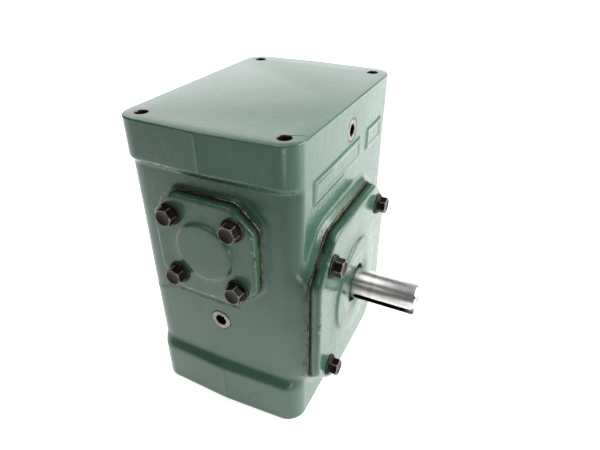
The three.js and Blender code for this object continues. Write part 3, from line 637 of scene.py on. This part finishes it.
def plug_place(node):
    """A plug's frame: its origin on the outer face's plane, from the node's box."""
    low, high = box_mm(node)
    centre = (low + high) / 2
    out = {"fill_plug": (1, 0, 0), "level_plug": (0, -1, 0), "drain_plug": (0, 1, 0)}[node]
    face = np.where(np.array(out) > 0, high, low)
    origin = np.where(np.array(out) != 0, face, centre)
    radius = (high - low)[2] / 2
    return side_matrix(origin, out), radius


PLUGS = {node: plug_place(node) for node in ("fill_plug", "level_plug", "drain_plug")}


def housing_piece(material):
    """The casting: the outside above, the CAD housing's inside, and fresh bores and holes."""
    piece = loft("housing_casting", housing_surface())
    inside = block("inside", (-60, -80, 8), (60, 80, HEIGHT - 8))
    combine(inside, welded_copy("housing"))
    combine(piece, inside)
    tools = []
    for side, cover in COVERS.items():
        depth = 22 if side == "output" else 20
        tools.append(bar("bore", cover["bore"], -depth, 2, cover["place"], 96))
        for u, v in bolt_spots(cover):
            hole_place = cover["place"] @ Matrix.Translation((u, v, 0))
            tools.append(bar("tapped", TAPPED_HOLE, -TAPPED_DEPTH, 2, hole_place, 24))
    for matrix, radius in PLUGS.values():
        tools.append(bar("plug_hole", radius + PLUG_GAP, -15, 3, matrix))
    for x in (-MOUNT[0], MOUNT[0]):
        for y in (-MOUNT[1], MOUNT[1]):
            tools.append(thread_tool(x, y, HEIGHT, True))
            tools.append(thread_tool(x, y, 0, False))
    combine(piece, joined("tools", tools))
    mark_housing(piece)
    return finished(piece, material, ["housing"])


def mark_housing(piece):
    """Where the casting is darker, from real dirt and from painted shade, and where it is paler, from a
    painted highlight.
    """
    points = points_mm(piece)
    x, y, z = points.T
    rough = waves(points, 5, 3.0)
    grime = np.zeros(len(points))
    wear = np.zeros(len(points))
    front = COVERS["worm_front"]
    under = front["origin"][2] - front["half"]
    on_front = y < -FRONT_START
    # Painted shadow: a dark line below the front cover's underside.
    below = on_front & (x > -36) & (x < 17)
    grime += below * fading(z - under + 11.3 + 0.8 * rough, 1.4)
    # A fainter dark line that slopes down towards the left corner.
    corner_streak = on_front & (x < -38) & (x > -60)
    grime += corner_streak * fading(z - under + 11.5 - 0.35 * (x + 40) + 2 * rough, 2.4) * 0.7
    # Painted shade in the hollow fillet round each cover's seat.
    for side in COVERS:
        cover = COVERS[side]
        across = y - cover["origin"][1] if side == "output" else x
        on_end = (y * cover["origin"][1] > 0) & (np.abs(y) > FRONT_START)
        on_side = x > SIDE_START if side == "output" else on_end
        outside = octagon_distance(across, z - cover["origin"][2], cover["half"], cover["chamfer"])
        grime += on_side * fading(outside - 1.0, 1.3) * 0.55 * (1 + rough)
    # A dark ring round each plug, in the gap between plug and hole.
    for matrix, radius in PLUGS.values():
        centre = np.array(matrix.translation)
        away = np.linalg.norm(points - centre, axis=1) - radius
        grime += fading(away, 1.1) * 0.8
    # Painted shade under the top band, tapering off to the right.
    taper = smooth_step(-22, -16, x) * (1 - smooth_step(20, 46, x))
    grime += on_front * taper * fading(z - BAND[0] - 1.5, 3.4) * 0.62
    # Painted highlight along the lower lip of the top band, on its left part.
    wear += on_front * (x < -18) * fading(z - BAND[1] + 1.2, 0.8) * 0.75
    paint_mask(piece, "grime", np.clip(grime, 0, 1))
    paint_mask(piece, "wear", np.clip(wear, 0, 1))


def bolt_spots(cover):
    """The corners of a cover's square of bolts."""
    reach = cover["bolt"]
    return [(reach, reach), (-reach, reach), (-reach, -reach), (reach, -reach)]


# ---------------------------------------------------------------- covers, gaskets and sealant


def bolt_holes(cover, top):
    """A tool that cuts a cover's or a gasket's four bolt holes."""
    spots = [Matrix.Translation((u, v, 0)) for u, v in bolt_spots(cover)]
    holes = [bar("bolt_hole", COVER_HOLE, -2, top, cover["place"] @ spot, 24) for spot in spots]
    return joined("bolt_holes", holes)


def cover_piece(side, material):
    """A cast cover plate with a rounded edge and a raised disc, on the turned back of the CAD cover."""
    cover = COVERS[side]
    angles = even_angles(320)
    half, chamfer, plate, rounding = cover["half"], cover["chamfer"], cover["plate"], cover["round"]
    disc, rise, window = cover["disc"], cover["rise"], cover["window"]
    front = COVER_BACK + plate

    def octagon(inset, height):
        return octagon_radius(angles, half - inset, chamfer - 0.59 * inset), height

    rows = [octagon(0, COVER_BACK), octagon(0.15, front - rounding)]
    for turn in np.radians([18, 36, 54, 72, 90]):
        inset = 0.15 + rounding * (1 - math.cos(turn))
        rows.append(octagon(inset, front - rounding * (1 - math.sin(turn))))
    outer = octagon(rounding + 2.5, front)
    rows.append(outer)
    foot = disc + 1.6
    rows.append(((outer[0] + foot) / 2, front))
    rows.append((np.minimum(foot, outer[0] - 1), front))
    for share, reach in ((0.12, 0.7), (0.45, -0.1), (0.8, -0.7), (0.96, -1.5), (1.0, -2.6)):
        rows.append((disc + reach, front + rise * share))
    top = front + rise
    if window:
        rows += [((disc + window) / 2, top), (window + 0.8, top), (window, top - 0.8), (window, COVER_BACK)]
    else:
        rows += [(disc * 0.66, top), (disc * 0.33, top), (1.0, top)]
    rings = np.array(polar(angles, rows))
    flat = rings.reshape(-1, 3)
    lift = waves(flat, 17, 2.0 + plate) * SWELL * (flat[:, 2] > COVER_BACK + 1)
    flat[:, 2] += lift
    piece = loft(side + "_cover_casting", rings, cover["place"], loop=bool(window))
    back = welded_copy(side + "_cover")
    keep = bar("keep", cover["keep"], -40, COVER_BACK + 0.5, cover["place"], 96)
    combine(back, keep, "INTERSECT")
    combine(piece, back, "UNION")
    if window:
        combine(piece, bar("window", window, -40, 40, cover["place"], 96))
    combine(piece, bolt_holes(cover, front + 3))
    mark_cover(piece, cover, front)
    return finished(piece, material, [side + "_cover"])


def mark_cover(piece, cover, front):
    """Painted shade round the bolts and at the disc's foot, a darker back edge, and chipped, paler front
    edges.
    """
    local = points_mm(piece) - cover["origin"]
    turn = np.array(cover["place"].to_3x3())
    u, v, out = (local @ turn).T
    rough = waves(np.column_stack([u, v, out]), 4, 9.0)
    grime = np.zeros(len(u))
    # Painted shade in a ring round each bolt's flange.
    for spot_u, spot_v in bolt_spots(cover):
        away = np.hypot(u - spot_u, v - spot_v)
        grime += fading(away - BOLT["flange"], 1.0) * 0.6
    outside = octagon_distance(u, v, cover["half"], cover["chamfer"])
    # Darker along the cover's back edge, by the gasket.
    grime += (outside > -1.2) * fading(out - COVER_BACK, 0.9) * 0.7
    # Painted shade in the crease at the foot of the raised disc.
    grime += fading(np.hypot(u, v) - cover["disc"] - 0.9, 0.8) * 0.12
    edge = (outside > -cover["round"] * 1.2) & (out > front - cover["round"] * 0.9)
    chips = edge * smooth_step(0.42, 0.56, rough)
    grime += chips * 0.9
    # Paler patches along the rounded front edge.
    wear = edge * smooth_step(0.25, 0.45, -rough) * 0.5
    paint_mask(piece, "grime", np.clip(grime, 0, 1))
    paint_mask(piece, "wear", np.clip(wear, 0, 1))


def gasket_piece(side, material):
    """A sheet gasket whose trimmed edge stands out unevenly from under the cover."""
    cover = COVERS[side]
    angles = even_angles(360)
    inner = cover["bore"] + 1.2
    ragged = 0.4 + 0.35 * waves(np.column_stack(place_on_circle(angles, 40)), 5, 4.0 + cover["half"])
    outer = octagon_radius(angles, cover["half"], cover["chamfer"]) + ragged
    low, high = GASKET_GAP, COVER_BACK - GASKET_GAP
    rows = [(inner, low), (outer, low), (outer + 0.1, (low + high) / 2), (outer, high), (inner, high)]
    piece = loft(side + "_gasket_sheet", polar(angles, rows), cover["place"], loop=True)
    combine(piece, bolt_holes(cover, 3))
    return finished(piece, material, [side + "_gasket"])


def place_on_circle(angles, radius):
    """Columns of x, y and z round a circle."""
    return np.cos(angles) * radius, np.sin(angles) * radius, np.zeros_like(angles)


def sealant_piece(side, material):
    """Sealant squeezed out along a gasket's edge: a thin bead with blobs."""
    cover = COVERS[side]
    angles = even_angles(520)
    path = octagon_radius(angles, cover["half"] + 0.55, cover["chamfer"])
    around = np.column_stack(place_on_circle(angles, cover["half"]))
    blobs = 0.55 * np.clip(waves(around, 14, 7.0), 0, 1)
    size = 0.42 + 0.30 * waves(around, 6, 1.0 + cover["half"]) + blobs
    size = np.clip(size, 0.12, 1.1)
    rows = []
    for turn in even_angles(8):
        rows.append((path + size * 0.8 * math.cos(turn), COVER_BACK / 2 + size * math.sin(turn)))
    piece = loft(side + "_sealant", polar(angles, rows), cover["place"], loop=True)
    local = (points_mm(piece) - cover["origin"]) @ np.array(cover["place"].to_3x3())
    direction = np.degrees(np.arctan2(local[:, 1], local[:, 0]))
    pale = smooth_step(26, 38, direction) * (1 - smooth_step(66, 80, direction))
    paint_mask(piece, "pale", pale * (side == "worm_front"))
    return finished(piece, material)


# ---------------------------------------------------------------- bolts, plugs, seals and shafts


def bolt_piece(node, side, spot, turn, material):
    """A flanged hexagon bolt: domed flange, chamfered corners and a shallow dish in its end."""
    cover = COVERS[side]
    angles = hexagon_angles()
    flats, height, flange = BOLT["flats"], BOLT["height"], BOLT["flange"]
    corner = hexagon_radius(angles, flats)
    crown = flats / 2 * 0.97
    past_crown = np.maximum(corner - crown, 0)
    shoulder = height - past_crown * math.tan(math.radians(32))
    shank, tip, base = BOLT["shank"], -BOLT["length"], BOLT["flange_height"]
    rows = [
        (shank - 0.6, tip + 0.06), (shank, tip + 0.6), (shank, 0.06),
        (flange - 0.3, 0.06), (flange, 0.3), (flange, 1.0), (flange - 0.35, 1.4), (corner + 0.35, base),
        (corner, base + 0.4), (corner, shoulder - 0.5), (corner - 0.04, shoulder - 0.08),
        (np.minimum(corner - 0.25, crown + 0.05), height - 0.02 - past_crown * 0.05),
        (crown - 0.5, height), (crown - 1.5, height - 0.12), (crown - 1.9, height - 0.35),
        (1.0, height - 0.4),
    ]
    place_matrix = cover["place"] @ Matrix.Translation((*spot, COVER_BACK + cover["plate"]))
    place_matrix = place_matrix @ Matrix.Rotation(math.radians(turn), 4, "Z")
    piece = loft(node + "_head", polar(angles, rows), place_matrix)
    near_corner = np.clip((corner - corner.min()) / (corner.max() - corner.min()), 0, 1) ** 10
    wear, face = np.zeros((len(rows), len(angles))), np.zeros((len(rows), len(angles)))
    wear[8:11] = near_corner * 0.8
    wear[10:13] = np.maximum(wear[10:13], [[0.4], [1.0], [0.1]])
    wear[5] = 0.35
    face[12:] = 1
    paint_mask(piece, "wear", wear)
    paint_mask(piece, "face", face)
    return finished(piece, material, [node], sharp=50)


def plug_piece(node, material):
    """A hexagon-socket pipe plug."""
    matrix, radius = PLUGS[node]
    angles = hexagon_angles()
    socket = hexagon_radius(angles, PLUG_FLATS)
    low, high = box_mm(node)
    length = (high - low)[np.abs(np.array(matrix.col[2])[:3]).argmax()]
    rows = [
        (radius - 0.8, -length), (radius, -length + 0.8), (radius, -0.8), (radius - 0.25, -0.25),
        (radius - 0.8, 0), ((radius + socket) / 2, 0), (socket + 0.5, 0), (socket, -0.5),
        (socket, -PLUG_SOCKET), (1, -PLUG_SOCKET - 0.8),
    ]
    piece = loft(node + "_fine", polar(angles, rows), matrix)
    # The socket's faces are marked for painted shade.
    inside = np.zeros((len(rows), len(angles)))
    inside[7:] = 1
    paint_mask(piece, "socket", inside)
    return finished(piece, material, [node])


def seal_piece(side, material):
    """A lip seal behind a cover's window: a flat shell, a groove and a lip that stands round the shaft."""
    cover = COVERS[side]
    node, outer, inner = SEALS[side].values()
    low, high = box_mm(node)
    out = np.array(OUT[side])
    face = float(np.dot(high, out) - np.dot(cover["origin"], out))
    back = float(np.dot(low, out) - np.dot(cover["origin"], out))
    lip = inner + 0.1
    rows = [
        (outer, back), (outer, face), (lip + 2.2, face),
        (lip + 1.8, face - SEAL_GROOVE), (lip + 1.0, face - SEAL_GROOVE),
        (lip + 0.7, face - SEAL_GROOVE), (lip + SEAL_SHAFT_GAP, face - 0.1), (lip, face - 1.0),
        (lip + 0.4, back),
    ]
    piece = turned(node + "_fine", rows, cover["place"], 96, loop=True)
    return finished(piece, material, [node])


def cut_keyway(piece, keyway, radius, end, axis):
    """Cuts a keyway with a round inner end. The shaft's frame has its axis as +Z."""
    half, start = keyway["width"] / 2, keyway["start"]
    bottom, top = radius - keyway["depth"], radius + 2
    outline = [(end + 2, half), (end + 2, -half)]
    for turn in np.radians(np.linspace(90, -90, 13)):
        outline.append((start + half - half * math.cos(turn), -half * math.sin(turn)))
    rings = [[(x, y, z) for z, y in outline] for x in (bottom, top)]
    slot_place = axis @ Matrix.Rotation(math.radians(keyway["angle"]), 4, "Z")
    combine(piece, loft("keyway", rings, slot_place))


def output_shaft_piece(material):
    """The output shaft with its chamfered, centre-drilled end and both keyways."""
    low, high = box_mm("output_shaft")
    centre, end = (low + high) / 2, high[0]
    seat, radius, shoulder, chamfer = OUTPUT_SHAFT.values()
    profile = [
        (seat - 0.8, low[0]), (seat, low[0] + 0.8), (seat, shoulder - 0.5), (seat - 0.5, shoulder),
        (radius, shoulder), (radius, end - chamfer), (radius - 0.25, end - chamfer + 0.55),
        (radius - chamfer, end), (2.6, end), (2.2, end - 0.8), (0.5, end - 3.4),
    ]
    axis = side_matrix((0, centre[1], centre[2]), (1, 0, 0))
    piece = turned("output_shaft_ground", profile, axis, 128)
    cut_keyway(piece, OUTPUT_KEYWAY, radius, end, axis)
    key_low, key_high = box_mm("wheel_key")
    combine(piece, block("key_seat", key_low - 0.1, key_high + 0.1))
    mark_shaft(piece, centre, 0, radius, COVERS["output"]["origin"][0])
    return finished(piece, material, ["output_shaft"], "output")


def mark_shaft(piece, centre, axis, radius, after):
    """The keyway's floor and walls, and the ring by the seal, are marked for black: grease and painted
    shade.
    """
    points = points_mm(piece)
    offset = np.delete(points - centre, axis, axis=1)
    recess = (np.hypot(*offset.T) < radius - 0.25) & (points[:, axis] > after)
    end = points[:, axis].max()
    recess &= points[:, axis] < end - 0.05
    paint_mask(piece, "recess", recess.astype(float))


def input_shaft_piece(material):
    """The worm with its thread from the frame, and a fine ground end that carries the keyway."""
    piece = welded_copy("worm_shaft")
    piece.name = "worm_shaft_ground"
    low, high = box_mm("worm_shaft")
    centre = (low + high) / 2
    centre[1] = 0
    radius, chamfer, seal_reach = INPUT_SHAFT.values()
    start, end = COVERS["worm_rear"]["origin"][1] + seal_reach, high[1]
    axis = side_matrix((centre[0], 0, centre[2]), (0, 1, 0))
    combine(piece, bar("clear", 30, start, end + 5, axis))
    profile = [(radius, start - 3), (radius, end - chamfer), (radius - 0.2, end - chamfer + 0.4),
               (radius - chamfer, end), (2.0, end), (1.7, end - 0.6), (0.4, end - 2.8)]
    combine(piece, turned("end", profile, axis, 96), "UNION")
    cut_keyway(piece, INPUT_KEYWAY, radius, end, axis)
    mark_shaft(piece, centre, 1, radius, start + 2)
    return finished(piece, material, ["worm_shaft"], "worm", sharp=30)


# ---------------------------------------------------------------- the object

ground_x = ground_steel("ground_steel_output", 0)
ground_y = ground_steel("ground_steel_input", 1)
bolt_finish, plug_finish = black_bolt(), plug_steel()
paper, bead, rubber = gasket_paper(), sealant(), seal_rubber()

housing_piece(housing_enamel())
for number, side_name in enumerate(COVERS):
    cover_piece(side_name, cover_enamel(side_name + "_enamel", 11.0 + 6 * number))
    gasket_piece(side_name, paper)
    sealant_piece(side_name, bead)
    for index, bolt_spot in enumerate(bolt_spots(COVERS[side_name])):
        bolt_turn = BOLT_TURNS[(index + number) % len(BOLT_TURNS)]
        bolt_piece(f"{side_name}_cover_bolt_{index + 1}", side_name, bolt_spot, bolt_turn, bolt_finish)
for plug_name in PLUGS:
    plug_piece(plug_name, plug_finish)
for side_name in SEALS:
    seal_piece(side_name, rubber)
output_shaft_piece(ground_x)
input_shaft_piece(ground_y)

INNER = {
    "bronze": plain_metal("bronze", (0.42, 0.26, 0.09), (0.62, 0.42, 0.18), 0.28, 400),
    "cast_iron": plain_metal("cast_iron", (0.10, 0.10, 0.10), (0.19, 0.19, 0.185), 0.5, 700),
    "bearing_steel": plain_metal("bearing_steel", (0.50, 0.51, 0.52), (0.66, 0.67, 0.68), 0.16, 300),
}
for node_name, cad_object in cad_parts.items():
    slots = [m.name.split(".")[0] for m in cad_object.data.materials if m]
    for finish_name, finish in INNER.items():
        if any(finish_name in slot_name for slot_name in slots):
            cad_object.data.materials.clear()
            cad_object.data.materials.append(finish)

# ---------------------------------------------------------------- floor, light and camera


FLOOR_AWAY = (-0.434, 0.901, 0)  # the direction in which the floor's glow grows
FLOOR_FADE = (-0.30, -0.125)  # metres that way from the box between which it does so
FLOOR_GLOW = (0.02, 0.75)
ROOM, BACKDROP = 0.06, 0.95

# Name, place, target, size and power of each soft light.
LIGHTS = (
    ("key", (1.35, 0.75, 0.95), (0.05, 0.05, 0.05), (1.5, 1.2), 42),
    ("back", (-1.15, 2.1, 0.95), (0, 0, 0.2), (3.4, 1.5), 33),
    ("top", (-0.25, -0.05, 1.3), (-0.15, -0.05, 0), (0.8, 0.8), 6.0),
    ("fill", (-0.44, -0.92, 0.72), (0, 0, 0.1), (1.0, 0.8), 0.3),
    ("strip", (-0.13, -0.93, 0.86), (0.10, -0.01, 0.09), (0.70, 0.14), 0.9),
    ("glint", (0.32, -0.52, 0.05), (0.06, -0.09, 0.2), (0.10, 0.10), 0.16),
)


def floor():
    """Pale paper that glows as painted light: faintly in front of the box, where its glossy front reflects
    it.
    """
    bpy.ops.mesh.primitive_plane_add(size=14)
    plane = bpy.context.active_object
    plane.name = "floor"
    s = Shader("floor_paper", Specular_IOR_Level=0.2)
    grain = s.noise(30, 3)
    colour = s.mix(s.between(grain, 0.3, 0.7), (0.86, 0.87, 0.87), (0.89, 0.89, 0.89))
    away = s.node("ShaderNodeVectorMath", {0: s.spot(), 1: FLOOR_AWAY}, operation="DOT_PRODUCT")
    # The floor's painted glow: emission, faint in front of the box and strong behind it.
    s.surface.inputs["Emission Color"].default_value = (1, 1, 1, 1)
    s.put(s.between(away.outputs["Value"], *FLOOR_FADE, *FLOOR_GLOW), s.surface.inputs["Emission Strength"])
    plane.data.materials.append(s.finish(colour, s.between(grain, 0.3, 0.7, 0.7, 0.8), s.bump(grain, 0.1)))


def soft_light(name, position, target, size, power):
    data = bpy.data.lights.new(name, "AREA")
    data.shape = "RECTANGLE"
    data.size, data.size_y = size
    data.energy = power
    lamp = bpy.data.objects.new(name, data)
    lamp.location = position
    lamp.rotation_euler = (Vector(target) - Vector(position)).to_track_quat("-Z", "Y").to_euler()
    bpy.context.scene.collection.objects.link(lamp)


def studio():
    """A dim room round the lights, with a pale backdrop behind the object."""
    world = bpy.data.worlds.new("studio")
    world.use_nodes = True
    nodes, links = world.node_tree.nodes, world.node_tree.links
    background = nodes["Background"]
    background.inputs["Color"].default_value = (0.97, 0.99, 1.0, 1)
    seen = nodes.new("ShaderNodeLightPath")
    strength = nodes.new("ShaderNodeMapRange")
    strength.inputs["To Min"].default_value = ROOM
    strength.inputs["To Max"].default_value = BACKDROP
    links.new(seen.outputs["Is Camera Ray"], strength.inputs["Value"])
    links.new(strength.outputs["Result"], background.inputs["Strength"])
    bpy.context.scene.world = world


CAMERA_MM = (168.85, -302.07, 330.61)
AZIMUTH, ELEVATION, ROLL, LENS = 25.691, 31.959, 0.130, 29.25


def camera():
    """The photograph's view, as the swing, lean and roll of the camera."""
    data = bpy.data.cameras.new("camera")
    data.lens = LENS
    data.sensor_width = 36
    data.clip_start, data.clip_end = 0.01, 50
    eye = bpy.data.objects.new("camera", data)
    bpy.context.scene.collection.objects.link(eye)
    lean = Matrix.Rotation(math.radians(90 - ELEVATION), 4, "X")
    swing = Matrix.Rotation(math.radians(AZIMUTH), 4, "Z")
    roll = Matrix.Rotation(math.radians(-ROLL), 4, "Z")
    eye.matrix_world = Matrix.Translation(Vector(CAMERA_MM) * MM) @ swing @ lean @ roll
    bpy.context.scene.camera = eye


floor()
for light in LIGHTS:
    soft_light(*light)
studio()
camera()
bpy.context.scene.view_settings.view_transform = "Standard"
